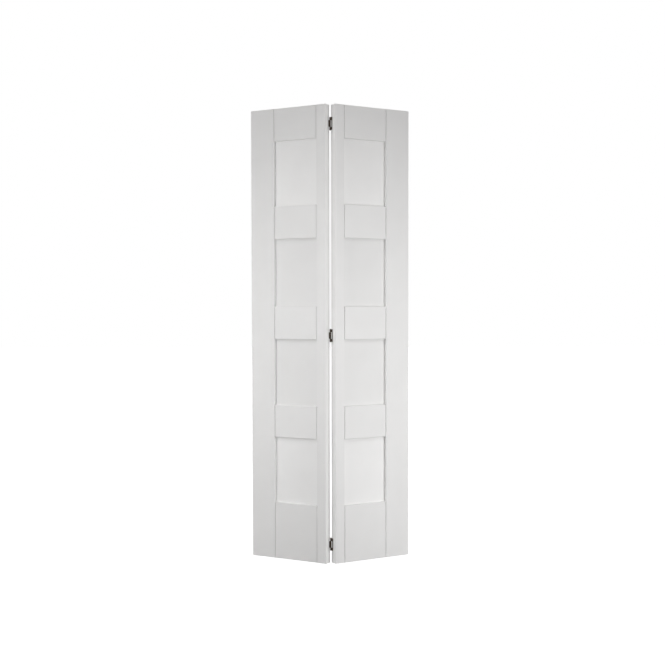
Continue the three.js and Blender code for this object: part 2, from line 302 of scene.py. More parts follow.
# %% [markdown]
# ## White primer on board
# The panels are medium-density fibreboard, which has no grain to raise and takes the
# primer evenly, so they are smoother than the frame round them. The same finish serves,
# without its fibres and with a more even sheen. The board is one white, painted in two
# shades: the end panels are lighter than the two between, as painted light and shade
# that the lamps don't give. The panels are plain boards held in grooves, so their
# solids already have the right form: they stay, and only get this finish.

# %% The panels
BOARD_ROUGHNESS = (0.55, 0.61)
# Painted light and shade: the end panels get a lighter copy of the colour, the middle two a darker
# one.
BOARD_PAINTED_LIGHT_AND_SHADE = {"painted_lighter": ("#EDEDEC", "#E8E8E7", ("bottom", "top")),
                 "painted_darker": ("#E3E3E2", "#DFDFDE", ("lower", "upper"))}

for painted_tone, (light, shade, rows) in BOARD_PAINTED_LIGHT_AND_SHADE.items():
    board_primer = primer_finish(
        f"acrylic_primer_on_{painted_tone}_fibreboard", light, shade, BOARD_ROUGHNESS)
    panels = [frame["nodes"][f"{side}_{row}_panel"] for side in TURN_SIGN for row in rows]
    for panel in panels:
        panel.data.materials.clear()
        panel.data.materials.append(board_primer)
    print(len(panels), "panels have", board_primer.name)

# %% [markdown]
# ## Bare wood
# Primer doesn't reach into a hole. The walls of the bores show the stiles' own timber,
# a pale softwood, whose yearly rings run along the piece as bands of light early wood
# and darker late wood. The dowels are beech, which is closer and pinker, and is known
# by short dark flecks along the grain. Both are one recipe with other sizes: a noise
# that is stretched along the grain, read through a threshold.

# %% Softwood and beech
RING_WIDTH, RING_LENGTH = 2.5 * MM, 80 * MM
FLECK_WIDTH, FLECK_LENGTH = 0.5 * MM, 2.5 * MM
BAND_BLUR = 0.12
LIGHT_WOOD_ROUGHNESS, DARK_WOOD_ROUGHNESS = 0.72, 0.6
BAND_HEIGHT = 0.03 * MM


def wood_finish(name, light, dark, width, length, threshold, leaf_turn, along):
    """Bare wood: a pattern stretched along the grain, from light wood to dark."""
    finish, tree, shader = new_finish(name)
    place = add_node(tree, "ShaderNodeTexCoord").outputs["Object"]
    place = add_node(tree, "ShaderNodeMapping", {
        "Vector": place, "Rotation": (0, 0, math.radians(-leaf_turn))}).outputs[0]
    place = add_node(tree, "ShaderNodeMapping", {
        "Vector": place, "Scale": grain_scale(along, length, width)}).outputs[0]
    grain = add_node(tree, "ShaderNodeTexNoise", {
        "Vector": place, "Scale": 1, "Detail": 3}).outputs[0]
    band = add_node(tree, "ShaderNodeMapRange", {
        "Value": grain, "From Min": threshold, "From Max": threshold + BAND_BLUR}).outputs[0]
    colour = add_node(tree, "ShaderNodeMix", {
        MIX_FACTOR: band, MIX_LIGHT: linear(light), MIX_DARK: linear(dark)},
        data_type="RGBA").outputs[MIX_RESULT]
    rough = add_node(tree, "ShaderNodeMapRange", {
        "Value": band, "To Min": LIGHT_WOOD_ROUGHNESS,
        "To Max": DARK_WOOD_ROUGHNESS}).outputs[0]
    relief = add_node(tree, "ShaderNodeBump", {"Height": band, "Distance": BAND_HEIGHT}).outputs[0]
    dress(shader, tree, {"Base Color": colour, "Roughness": rough, "Normal": relief})
    return finish


bare_softwood = wood_finish("bare_softwood_in_bores", "#D9BE92", "#B98F5C", RING_WIDTH,
                            RING_LENGTH, threshold=0.5, leaf_turn=0, along="z")
beech = {side: wood_finish(f"planed_beech_{side}", "#D4AB80", "#A87B52", FLECK_WIDTH,
                           FLECK_LENGTH, threshold=0.58, along="x",
                           leaf_turn=TURN_SIGN[side] * LEAF_TURN)
         for side in TURN_SIGN}
print("Bare wood:", bare_softwood.name, *[finish.name for finish in beech.values()])

# %% [markdown]
# ## Dark bronze lacquer on steel
# The hinges are stamped from mild steel, tumbled with stones until their edges are
# round, and dipped in a translucent dark bronze lacquer. Tumbling leaves a fine even
# pitting, about half a millimetre across, which gives the sheen a grain. The lacquer
# pools a little darker on the flats and is thinnest on the rounded edges, where the
# bronze glows through. So there are two finishes, the flats' and the edges', and the
# bevel that rounds the edges will put the second one on its own faces.

# %% Lacquer on the flats and on the edges
PIT_SIZE = 0.5 * MM
PIT_DEPTH = 0.006 * MM
POOL_SIZE = 7 * MM
SHEEN_SPREAD = 0.05
HINGE_LACQUER = {"Metallic": 0.75, "Coat Weight": 0.15, "Coat Roughness": 0.3, "Coat IOR": 1.5}


def bronze_finish(name, thick, thin, roughness):
    """Dark bronze lacquer over tumbled steel, between its thick and thin colours."""
    finish, tree, shader = new_finish(name)
    place = add_node(tree, "ShaderNodeTexCoord").outputs["Object"]
    pool = add_node(tree, "ShaderNodeTexNoise", {
        "Vector": place, "Scale": 1 / POOL_SIZE, "Detail": 2}).outputs[0]
    pit = add_node(tree, "ShaderNodeTexVoronoi", {
        "Vector": place, "Scale": 1 / PIT_SIZE}, feature="SMOOTH_F1").outputs["Distance"]
    colour = add_node(tree, "ShaderNodeMix", {
        MIX_FACTOR: pool, MIX_LIGHT: linear(thin), MIX_DARK: linear(thick)},
        data_type="RGBA").outputs[MIX_RESULT]
    rough = add_node(tree, "ShaderNodeMapRange", {
        "Value": pool, "From Min": NOISE_LOW, "From Max": NOISE_HIGH,
        "To Min": roughness + SHEEN_SPREAD, "To Max": roughness - SHEEN_SPREAD}).outputs[0]
    relief = add_node(tree, "ShaderNodeBump", {"Height": pit, "Distance": PIT_DEPTH}).outputs[0]
    dress(shader, tree, {
        "Base Color": colour, "Roughness": rough, "Normal": relief, **HINGE_LACQUER})
    return finish


bronze = bronze_finish("bronze_lacquer_on_tumbled_steel", "#3A2E23", "#4A3C2E", 0.48)
bronze_edge = bronze_finish("bronze_lacquer_thin_on_edges", "#5A4834", "#735C40", 0.38)
print("Hinge finishes:", bronze.name, bronze_edge.name)

# %% [markdown]
# ## Lacquer on turned screws
# The screws have the hinges' lacquer, but their steel was turned, so fine rings run
# round each head. A ring follows the screw and not the room, so this finish reads a
# UV map that the screw model will carry: the distance across the screw in millimetres.
# The real rings are about a tenth of a millimetre apart. They are drawn at a quarter,
# to show in a close view.

# %% Rings round a screw
SCREW_MAP = "across_the_screw"
RING_SPACING = 0.25    # in millimetres, as the map is
RING_HEIGHT = 0.004 * MM
SCREW_POOL_SIZE = 1.5 * MM
SCREW_ROUGHNESS = (0.3, 0.4)
SCREW_LACQUER = {"Metallic": 0.8, "Coat Weight": 0.2, "Coat Roughness": 0.25, "Coat IOR": 1.5}

screw_bronze, tree, shader = new_finish("bronze_lacquer_on_turned_steel")
across = add_node(tree, "ShaderNodeUVMap", uv_map=SCREW_MAP).outputs[0]
distance = add_node(tree, "ShaderNodeVectorMath", {0: across},
                    operation="LENGTH").outputs["Value"]
phase = add_node(tree, "ShaderNodeMath", {0: distance, 1: math.tau / RING_SPACING},
                 operation="MULTIPLY").outputs[0]
ring = add_node(tree, "ShaderNodeMath", {0: phase}, operation="SINE").outputs[0]
place = add_node(tree, "ShaderNodeTexCoord").outputs["Object"]
pool = add_node(tree, "ShaderNodeTexNoise", {
    "Vector": place, "Scale": 1 / SCREW_POOL_SIZE, "Detail": 2}).outputs[0]
colour = add_node(tree, "ShaderNodeMix", {
    MIX_FACTOR: pool, MIX_LIGHT: linear("#483A2D"), MIX_DARK: linear("#342920")},
    data_type="RGBA").outputs[MIX_RESULT]
rough = add_node(tree, "ShaderNodeMapRange", {
    "Value": pool, "From Min": NOISE_LOW, "From Max": NOISE_HIGH,
    "To Min": SCREW_ROUGHNESS[0], "To Max": SCREW_ROUGHNESS[1]}).outputs[0]
relief = add_node(tree, "ShaderNodeBump", {"Height": ring, "Distance": RING_HEIGHT}).outputs[0]
dress(shader, tree, {
    "Base Color": colour, "Roughness": rough, "Normal": relief, **SCREW_LACQUER})
print("Screw finish:", screw_bronze.name)

# %% [markdown]
# ## A few tools for the bench
# An operator acts on whatever is selected, so each step first selects by place: a test
# on the middle of each vertex, edge or face says which ones are meant. Their numbers
# would do as well, but a number changes whenever a step before it does.

# %% Selecting
def take(*pieces):
    """Selects these pieces only, the first of them as the active one."""
    bpy.ops.object.select_all(action="DESELECT")
    for piece in pieces:
        piece.select_set(True)
    if pieces:
        bpy.context.view_layer.objects.active = pieces[0]


def edit(piece):
    """Enters edit mode with this piece only."""
    take(piece)
    bpy.ops.object.mode_set(mode="EDIT")


def choose(piece, kind, test):
    """In edit mode, selects just the vertices, edges or faces whose middle passes a test."""
    bpy.ops.mesh.select_mode(type=kind)
    bpy.ops.mesh.select_all(action="DESELECT")
    shape = bmesh.from_edit_mesh(piece.data)
    for part in {"VERT": shape.verts, "EDGE": shape.edges, "FACE": shape.faces}[kind]:
        corners = [part.co] if kind == "VERT" else [corner.co for corner in part.verts]
        if test(sum(corners, Vector()) / len(corners)):
            part.select_set(True)
    shape.select_flush_mode()
    bmesh.update_edit_mesh(piece.data)


# %% [markdown]
# A new primitive has its place, turn and size put into its mesh at once, so that all
# numbers from then on are the flat door's own.

# %% Starting a piece
def settle(name):
    """Names the primitive that was just added and puts its place into its mesh."""
    piece = bpy.context.object
    piece.name = name
    bpy.ops.object.transform_apply(location=True, rotation=True, scale=True)
    return piece


def sheet(name, middle, width, height, facing="z"):
    """A flat rectangle that faces along z or along x, where its width stands upright."""
    take()
    turn = math.radians(90) if facing == "x" else 0
    bpy.ops.mesh.primitive_plane_add(size=1, location=middle, rotation=(0, turn, 0))
    bpy.context.object.scale = (width, height, 1)
    return settle(name)


def rod(name, radius, start, end, sides, end_radius=None):
    """A round bar between two points, tapered if its end has a radius of its own."""
    start, end = Vector(start), Vector(end)
    take()
    bpy.ops.mesh.primitive_cone_add(
        vertices=sides, radius1=radius, radius2=radius if end_radius is None else end_radius,
        depth=(end - start).length, location=(start + end) / 2,
        rotation=(end - start).to_track_quat("Z", "X").to_euler())
    return settle(name)


def block(name, low, high):
    """A square-edged block between two corners."""
    low, high = Vector(low), Vector(high)
    take()
    bpy.ops.mesh.primitive_cube_add(size=1, location=(low + high) / 2)
    bpy.context.object.scale = [abs(span) for span in high - low]
    return settle(name)


# %% [markdown]
# Most shaping is of three kinds: a line scored across a piece, a face pushed out of it,
# and one piece cut out of another. A cut carries its tool's finish to the new walls,
# which is how a bore comes to show bare wood.

# %% Scoring, pushing and cutting
WELD_DISTANCE = 0.001 * MM


def cut_across(point, normal):
    """Scores a line across the whole piece where a plane meets it."""
    bpy.ops.mesh.select_all(action="SELECT")
    bpy.ops.mesh.bisect(plane_co=point, plane_no=normal)


def push(*move):
    """Extrudes what is selected by a move."""
    bpy.ops.mesh.extrude_region_move(TRANSFORM_OT_translate={"value": move})


def close_edit():
    """Makes the faces point outwards and leaves edit mode."""
    bpy.ops.mesh.select_all(action="SELECT")
    bpy.ops.mesh.remove_doubles(threshold=WELD_DISTANCE)
    bpy.ops.mesh.normals_make_consistent(inside=False)
    bpy.ops.object.mode_set(mode="OBJECT")


def apply_modifier(piece, kind, **settings):
    """Gives a piece a modifier with these settings, and applies it."""
    take(piece)
    modifier = piece.modifiers.new(kind.title(), kind)
    for name, value in settings.items():
        setattr(modifier, name, value)
    bpy.ops.object.modifier_apply(modifier=modifier.name)


def combine(piece, operation, tools, finish):
    """Joins tools to a piece or cuts them out of it, and uses them up."""
    for tool in tools:
        if not tool.data.materials:
            tool.data.materials.append(finish)
    take(*tools)
    if len(tools) > 1:
        bpy.ops.object.join()
    tool = bpy.context.object
    apply_modifier(piece, "BOOLEAN", operation=operation, object=tool, solver="EXACT",
                   use_self=True, material_mode="TRANSFER")
    bpy.data.objects.remove(tool)


# %% [markdown]
# Nothing real is quite sharp: paint draws back from an edge and tumbled steel is round.
# So each piece ends with a narrow bevel on every edge that is still sharp. Cutting
# leaves scraps of flat faces behind, and a bevel needs clean ones, so those are joined
# first. Weighted normals then keep the large faces flat beside the small round ones.

# %% Softening the edges
SCRAP_SIZE = 0.005 * MM
FLAT_ANGLE = math.radians(0.5)
SHARP_ANGLE = 40


def tidy(piece):
    """Joins the scraps of flat faces that cutting leaves behind."""
    edit(piece)
    bpy.ops.mesh.select_all(action="SELECT")
    bpy.ops.mesh.remove_doubles(threshold=SCRAP_SIZE)
    bpy.ops.mesh.dissolve_limited(angle_limit=FLAT_ANGLE, delimit={"MATERIAL"})
    bpy.ops.object.mode_set(mode="OBJECT")


def round_edges(piece, width, sharp_angle=SHARP_ANGLE, edge_finish=-1):
    """Puts a narrow bevel on what is still sharp."""
    tidy(piece)
    apply_modifier(piece, "BEVEL", width=width, segments=2, limit_method="ANGLE",
                   angle_limit=math.radians(sharp_angle), use_clamp_overlap=True,
                   material=edge_finish)


def shade(piece, sharp_angle=SHARP_ANGLE):
    """Shades round faces smooth and flat ones flat."""
    take(piece)
    bpy.ops.object.shade_smooth_by_angle(angle=math.radians(sharp_angle))
    apply_modifier(piece, "WEIGHTED_NORMAL", keep_sharp=True, weight=100)


# %% [markdown]
# The last step is the same for all: the piece is folded to its leaf's place, rides on
# that leaf, and stands for its solid. Its box must then be the solid's, which is
# printed as a check. What repeats is modelled once, and copied to each of its places
# with a mesh of its own.

# %% Standing in for a solid
def stand_in(piece, node, side):
    """Folds a finished piece to its leaf's place, where it stands for its solid."""
    piece.data.transform(fold(side))
    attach(piece, f"{side}_leaf")
    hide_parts(node)
    own_box = box_of([vertex.co for vertex in piece.data.vertices])
    off = max(abs(gap) for own, solid in zip(own_box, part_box(node)) for gap in own - Vector(solid))
    print(f"{piece.name}: {len(piece.data.polygons)} faces,",
          f"box within {off / MM:.2f} mm of its solid")


def copy_of(model, name, move):
    """A copy of a model with a mesh of its own, moved within the flat door."""
    take(model)
    bpy.ops.object.duplicate()
    piece = bpy.context.object
    piece.name = name
    piece.data.transform(move)
    return piece


def stand_copies(model, model_node, nodes, side):
    """Puts a copy of a model in each node's place, and removes the model."""
    for node in nodes:
        move = Matrix.Translation(flat_box(node, side)[0] - flat_box(model_node, side)[0])
        stand_in(copy_of(model, node + "_finished", move), node, side)
    bpy.data.objects.remove(model)


# %% [markdown]
# ## The stiles
# A stile is a leaf's upright. A moulding machine planes it to its section in one pass:
# a groove for the panels and the rails' tongues along one edge, with its lips eased so
# that they slide in, a small chamfer on either side of it, so that the joint with each
# rail shows as a neat V instead of an uneven crack, and the other edge rounded. It
# could start as a block with parts cut away, but the machine's own way is shorter: the
# section is drawn once, as a flat sheet scored and trimmed to shape, and is then pushed
# to the stile's whole length.

# %% A stile's section
GROOVE_DEPTH = 12 * MM
GROOVE_WIDTH = 9.6 * MM
STILE_ROUND = 2 * MM
LIP_EASE = 1.0 * MM
JOINT_WIDTH = 1.8 * MM
JOINT_DEPTH = 2.8 * MM
NEAR = 0.1 * MM    # closer than this counts as the same place


def ease_lips(piece, is_lip_end, y):
    """Takes the sharp inner corners off a groove's two lips."""
    choose(piece, "VERT", lambda at: abs(abs(at.y - y) - GROOVE_WIDTH / 2) < NEAR
           and is_lip_end(at))
    bpy.ops.mesh.bevel(offset=LIP_EASE, segments=1, affect="VERTICES")


def deepen_joint(piece, x, y, half_thickness):
    """Draws the inner edge of a fresh chamfer down, so that the V is deeper than wide."""
    choose(piece, "VERT", lambda at: abs(at.x - x) < NEAR and abs(at.y - y) > GROOVE_WIDTH)
    steeper = (half_thickness - JOINT_DEPTH) / (half_thickness - JOINT_WIDTH)
    bpy.ops.transform.resize(value=(1, steeper, 1), center_override=(0, y, 0))


def stile_section(name, grooved, rounded, low, high):
    """A stile's section on its lower end, between its grooved and its rounded edge."""
    inward = math.copysign(GROOVE_DEPTH, rounded - grooved)
    middle = (low + high) / 2
    piece = sheet(name, (middle.x, middle.y, low.z), high.x - low.x, high.y - low.y)
    edit(piece)
    cut_across((grooved + inward, 0, 0), (1, 0, 0))
    for wall in (-GROOVE_WIDTH / 2, GROOVE_WIDTH / 2):
        cut_across((0, middle.y + wall, 0), (0, 1, 0))
    choose(piece, "FACE", lambda at: abs(at.y - middle.y) < GROOVE_WIDTH / 2
           and abs(at.x - grooved) < GROOVE_DEPTH)
    bpy.ops.mesh.delete(type="FACE")
    bpy.ops.mesh.select_all(action="SELECT")
    bpy.ops.mesh.dissolve_limited(angle_limit=FLAT_ANGLE)
    choose(piece, "VERT", lambda at: abs(at.x - rounded) < NEAR)
    bpy.ops.mesh.bevel(offset=STILE_ROUND, segments=6, affect="VERTICES")
    ease_lips(piece, lambda at: abs(at.x - grooved) < NEAR, middle.y)
    choose(piece, "VERT", lambda at: abs(at.x - grooved) < NEAR
           and abs(at.y - middle.y) > GROOVE_WIDTH)
    bpy.ops.mesh.bevel(offset=JOINT_WIDTH, segments=1, affect="VERTICES")
    deepen_joint(piece, grooved, middle.y, high.y - middle.y)
    return piece


# %% [markdown]
# ## The stiles' bores
# Dowels hold each rail to its stiles: two in each end, or three in the tall bottom
# rail's, set in from its edges and evenly apart. The stile is bored for half of each
# dowel, with a little room for glue. The outer stiles are also bored in both ends for
# the pins that a bifold door turns on and slides by. All the drills are joined into
# one tool and cut out together, because one clean cut is quicker than twelve.

# %% Where the bores go
RAILS = ("bottom", "lower", "middle", "upper", "top")
DOWEL_RADIUS = 5 * MM
DOWEL_LENGTH = 60 * MM
DOWEL_INSET = 36 * MM
DOWEL_SPACING = 90 * MM
DOWEL_ROOM = 0.3 * MM
PIVOT_BORE_RADIUS = 5 * MM
PIVOT_BORE_DEPTH = 45 * MM
PIVOT_BORE_INSET = 20 * MM
OVERRUN = 2 * MM
BORE_SIDES = 32


def dowel_heights(side, rail):
    """Where a rail's dowels are: spread evenly between the insets from its edges."""
    low, high = flat_box(f"{side}_{rail}_rail", side)
    count = max(2, round((high.z - low.z) / DOWEL_SPACING))
    step = (high.z - low.z - 2 * DOWEL_INSET) / (count - 1)
    return [low.z + DOWEL_INSET + i * step for i in range(count)]


def dowel_drills(side, grooved, inward, y):
    """Drills for every dowel along the stile's grooved edge."""
    return [rod("dowel_drill", DOWEL_RADIUS + DOWEL_ROOM, (grooved - inward * OVERRUN, y, z),
                (grooved + inward * DOWEL_LENGTH / 2, y, z), BORE_SIDES)
            for rail in RAILS for z in dowel_heights(side, rail)]


def pivot_drills(x, y, low_end, high_end):
    """Drills for the pins in a stile's two ends."""
    return [rod("pivot_drill", PIVOT_BORE_RADIUS, (x, y, end - way * OVERRUN),
                (x, y, end + way * PIVOT_BORE_DEPTH), BORE_SIDES)
            for end, way in ((low_end, 1), (high_end, -1))]


print("Heights of the left bottom rail's dowels in mm:",
      [round(z / MM) for z in dowel_heights("left", "bottom")])

# %% [markdown]
# Each stile then goes through the workshop's own steps: its section, its length, its
# bores and its paint. Which of its edges has the groove follows from where it stands.
# The drills leave bare wood, which the spray doesn't reach. Paint draws back from a
# corner, so every edge that is still sharp is rounded by a third of a millimetre.

# %% The four stiles
PAINT_ROUND = 0.35 * MM


def stile(side, kind):
    """Makes a leaf's hinge stile or its outer stile, and puts it in its place."""
    node = f"{side}_{kind}_stile"
    low, high = flat_box(node, side)
    is_left_edge = (kind == "outer") == (side == "right")
    grooved, rounded = (low.x, high.x) if is_left_edge else (high.x, low.x)
    inward = math.copysign(1, rounded - grooved)
    piece = stile_section(node + "_finished", grooved, rounded, low, high)
    bpy.ops.mesh.select_all(action="SELECT")
    push(0, 0, high.z - low.z)
    close_edit()
    y = (low.y + high.y) / 2
    drills = dowel_drills(side, grooved, inward, y)
    if kind == "outer":
        drills += pivot_drills(rounded - inward * PIVOT_BORE_INSET, y, low.z, high.z)
    piece.data.materials.append(upright_primer)
    combine(piece, "DIFFERENCE", drills, bare_softwood)
    round_edges(piece, PAINT_ROUND)
    shade(piece)
    stand_in(piece, node, side)


for side in TURN_SIGN:
    for kind in ("hinge", "outer"):
        stile(side, kind)

# %% [markdown]
# ## The rails
# A rail crosses a leaf between its stiles. It has a groove along each edge that meets a
# panel, with eased lips as on the stiles, and slightly rounded corners. It is made the
# stiles' way, but its section runs across the leaf, so the sheet that it is pushed from
# stands upright, and is scored where the tongues will be.

# %% A rail's section
RAIL_ROUND = 1 * MM
TONGUE_THICKNESS = 9 * MM
TONGUE_LENGTH = 11.4 * MM
SHOULDER_GAP = 0.3 * MM


def rail_section(name, x, low, high, lowest, highest):
    """A rail's section at one shoulder, with grooves below and above these heights."""
    middle = (low + high) / 2
    size = high - low
    piece = sheet(name, (x, middle.y, middle.z), size.z, size.y, facing="x")
    edit(piece)
    for wall in (GROOVE_WIDTH / 2, TONGUE_THICKNESS / 2):
        cut_across((0, middle.y - wall, 0), (0, 1, 0))
        cut_across((0, middle.y + wall, 0), (0, 1, 0))
    for groove_floor in {lowest, highest} - {low.z, high.z}:
        cut_across((0, 0, groove_floor), (0, 0, 1))
    choose(piece, "FACE", lambda at: abs(at.y - middle.y) < GROOVE_WIDTH / 2
           and not lowest < at.z < highest)
    bpy.ops.mesh.delete(type="FACE")
    choose(piece, "VERT", lambda at: abs(abs(at.y - middle.y) - size.y / 2) < NEAR
           and abs(abs(at.z - middle.z) - size.z / 2) < NEAR)
    bpy.ops.mesh.bevel(offset=RAIL_ROUND, segments=4, affect="VERTICES")
    edges = ((low.z, lowest), (high.z, highest))
    lip_ends = [end for end, groove_floor in edges if end != groove_floor]
    ease_lips(piece, lambda at: any(abs(at.z - end) < NEAR for end in lip_ends), middle.y)
    return piece


# %% [markdown]
# A tenoning machine cuts each end of a rail back to a shoulder and leaves a tongue that
# fills the stile's groove. Here it goes the other way: the scored middle of each end is
# pushed out. The V chamfers are bevelled on the shoulders' long edges, and stop where
# the rail's rounded corners begin.

# %% A rail's tongues and chamfers
def shape_shoulders(piece, start, end, low, high):
    """Pushes a tongue out of each end and cuts the V chamfers beside it."""
    y = (low.y + high.y) / 2
    for shoulder, way in ((start, -1), (end, 1)):
        choose(piece, "FACE", lambda at: abs(at.x - shoulder) < NEAR and abs(at.y - y) < NEAR)
        push(way * TONGUE_LENGTH, 0, 0)
    upright = RAIL_ROUND + NEAR
    choose(piece, "EDGE", lambda at: min(abs(at.x - start), abs(at.x - end)) < NEAR
           and min(at.y - low.y, high.y - at.y) < NEAR
           and low.z + upright < at.z < high.z - upright)
    bpy.ops.mesh.bevel(offset=JOINT_WIDTH, segments=1, affect="EDGES")
    for shoulder in (start, end):
        deepen_joint(piece, shoulder, y, high.y - y)


# %% [markdown]
# A joiner glues the dowels into the rails before the leaf is put together, so here each
# rail is joined with its own. The three rails with a panel on both sides are alike:
# one of them is modelled and copied to the other places.

# %% The ten rails
ALIKE_RAILS = {"bottom": ["bottom"], "middle": ["lower", "middle", "upper"], "top": ["top"]}


def rail(side, name):
    """A model of one rail, in its place in the flat door."""
    low, high = flat_box(f"{side}_{name}_rail", side)
    stiles = sorted((flat_box(f"{side}_{kind}_stile", side) for kind in ("hinge", "outer")),
                    key=lambda box: box[0].x)
    start, end = stiles[0][1].x + SHOULDER_GAP, stiles[1][0].x - SHOULDER_GAP
    lowest = low.z if name == "bottom" else low.z + GROOVE_DEPTH
    highest = high.z if name == "top" else high.z - GROOVE_DEPTH
    piece = rail_section("rail_model", start, low, high, lowest, highest)
    bpy.ops.mesh.select_all(action="SELECT")
    push(end - start, 0, 0)
    shape_shoulders(piece, start, end, low, high)
    close_edit()
    y = (low.y + high.y) / 2
    half = DOWEL_LENGTH / 2
    dowels = [rod("dowel", DOWEL_RADIUS, (x - half, y, z), (x + half, y, z), BORE_SIDES)
              for x in (start, end) for z in dowel_heights(side, name)]
    piece.data.materials.append(rail_primer[side])
    combine(piece, "UNION", dowels, beech[side])
    round_edges(piece, PAINT_ROUND)
    shade(piece)
    return piece


for side in TURN_SIGN:
    for name, alike in ALIKE_RAILS.items():
        stand_copies(rail(side, name), f"{side}_{name}_rail",
                     [f"{side}_{other}_rail" for other in alike], side)

# %% [markdown]
# ## The hinge leaves
# A flush hinge needs no recess in the door, because one leaf nests inside the other and
# the two close to the thickness of one. Each leaf is a stamped plate whose back edge is
# curled round the pin: the inner leaf in one knuckle, the outer in two, above and below
# it. The plate could be bent from a strip, but a curl drawn as a strip has to be closed
# by hand. It is made here as plate and bar joined, then bored for the pin and slit,
# which leaves the same form with the slit that shows where the curl closes.

# %% A hinge leaf's plate
LEVELS = ("bottom", "middle", "top")
PLATE_THICKNESS = 2 * MM
PLATE_CORNER = 1.5 * MM
PIN_BORE_RADIUS = 1.7 * MM
NEST_ROOM = 0.5 * MM
SCREW_ROOM = 0.3 * MM
KNUCKLE_LIP = 0.05 * MM


def hinge_plate(name, low, high, window):
    """A plate that reaches out from the pin, with a window for the leaf that nests in it."""
    root = PIN_BORE_RADIUS / 2
    middle_z = (low.z + high.z) / 2
    piece = sheet(name, (-PLATE_THICKNESS / 2, (low.y - root) / 2, middle_z),
                  high.z - low.z - 2 * KNUCKLE_LIP, -low.y - root, facing="x")
    edit(piece)
    if window:
        depth, sill = window[0], window[1] + KNUCKLE_LIP
        cut_across((0, -depth, 0), (0, 1, 0))
        for z in (middle_z - sill, middle_z + sill):
            cut_across((0, 0, z), (0, 0, 1))
        choose(piece, "FACE", lambda at: at.y > -depth and abs(at.z - middle_z) < sill)
        bpy.ops.mesh.delete(type="FACE")
    choose(piece, "VERT", lambda at: at.y < low.y + NEAR
           and min(at.z - low.z, high.z - at.z) < NEAR)
    bpy.ops.mesh.bevel(offset=PLATE_CORNER, segments=6, affect="VERTICES")
    bpy.ops.mesh.select_all(action="SELECT")
    push(PLATE_THICKNESS, 0, 0)
    close_edit()
    return piece


# %% [markdown]
# Each leaf has two countersunk holes. A countersink is a cone that leaves a little room
# round the screw's head, and a straight hole with as much room round the shank goes on
# through the plate. They could be drilled one after the other, but as two cutters in
# the same place they are cut out with the curl's bore and slit in one go.

# %% Screw holes and the curl's slit
SCREW_RADIUS = 1.4 * MM
SCREW_HEAD_RADIUS = 2.7 * MM
SCREW_HEAD_SINK = 0.1 * MM
CURL_SLIT = 0.3 * MM
HOLE_SIDES = 48
KNUCKLE_SIDES = 64


def screw_hole(node, side):
    """The countersink and the clearance hole round one screw, as tools that cut them."""
    low, high = flat_box(node, side)
    way = TURN_SIGN[side]
    y, z = (low.y + high.y) / 2, (low.z + high.z) / 2
    face = -way * PLATE_THICKNESS / 2
    mouth = face - way * SCREW_ROOM
    wide, narrow = SCREW_HEAD_RADIUS + 2 * SCREW_ROOM, SCREW_RADIUS + SCREW_ROOM
    point = narrow / 2
    tip = mouth + way * (SCREW_HEAD_SINK + wide - point)
    return [rod("countersink", wide, (mouth, y, z), (tip, y, z), HOLE_SIDES, point),
            rod("clearance_drill", narrow, (mouth - way * OVERRUN, y, z),
                (way * (PLATE_THICKNESS + OVERRUN), y, z), HOLE_SIDES)]


def curl_cutters(way, radius, low_end, high_end):
    """The pin's bore and the slit where the curled plate closes."""
    inside = way * (PLATE_THICKNESS / 2 - KNUCKLE_LIP)
    outside = way * (PLATE_THICKNESS / 2 + CURL_SLIT)
    return [rod("pin_drill", PIN_BORE_RADIUS, (0, 0, low_end - OVERRUN), (0, 0, high_end + OVERRUN),
                KNUCKLE_SIDES),
            block("slit_saw", (inside, -radius - NEAR, low_end - 2 * OVERRUN),
                  (outside, -PIN_BORE_RADIUS / 2, high_end + 2 * OVERRUN))]


# %% [markdown]
# The plate and its knuckles are rounded before they are joined, because a bevel can't
# follow the seam between them, and the bevel gives its own faces the finish of the
# edges. Both kinds of leaf are modelled for the middle hinge and copied to the others.

# %% The six hinge leaves
STAMPED_ROUND = 0.2 * MM
EDGE_SLOT = 1


def hinge_leaf(kind, side):
    """A model of the middle hinge's inner or outer leaf."""
    low, high = flat_box(f"middle_hinge_{kind}_leaf", side)
    middle_z = (low.z + high.z) / 2
    window, knuckles = None, [(low.z, high.z)]
    if kind == "outer":
        nested_low, nested_high = flat_box("middle_hinge_inner_leaf", "left")
        sill = (nested_high.z - nested_low.z) / 2 + SCREW_ROOM
        window = (-nested_low.y + NEST_ROOM, sill)
        knuckles = [(low.z, middle_z - sill), (middle_z + sill, high.z)]
    piece = hinge_plate("hinge_leaf_model", low, high, window)
    curls = [rod("knuckle", high.y, (0, 0, start), (0, 0, end), KNUCKLE_SIDES)
             for start, end in knuckles]
    for stamped in (piece, *curls):
        stamped.data.materials.append(bronze)
        stamped.data.materials.append(bronze_edge)
        round_edges(stamped, STAMPED_ROUND, edge_finish=EDGE_SLOT)
    combine(piece, "UNION", curls, bronze)
    cutters = curl_cutters(TURN_SIGN[side], high.y, low.z, high.z)
    for place in ("low", "high"):
        cutters += screw_hole(f"middle_hinge_{side}_screw_{place}", side)
    combine(piece, "DIFFERENCE", cutters, bronze)
    tidy(piece)
    shade(piece)
    return piece


for kind, side in (("inner", "left"), ("outer", "right")):
    stand_copies(hinge_leaf(kind, side), f"middle_hinge_{kind}_leaf",
                 [f"{level}_hinge_{kind}_leaf" for level in LEVELS], side)

# %% [markdown]
# ## The hinge pins
# A pin is a steel wire, and a press spreads each of its ends into a low button so that
# it can't slip out. It starts as the wire. Its end face is pushed out by nothing and
# widened, which makes the button's flat underside, then pushed up twice and drawn in,
# which makes its rim and its slope. A half section spun round would give the same
# form, but this follows the press. Only the rims of the buttons are then rounded.

# %% The three pins
PIN_RADIUS = 1.4 * MM
PIN_HEAD_HEIGHT = 0.8 * MM
PIN_SIDES = 40
RIM_ROUND = 0.15 * MM
PIN_SHARP_ANGLE = 50
TOUCHING = 0.01 * MM


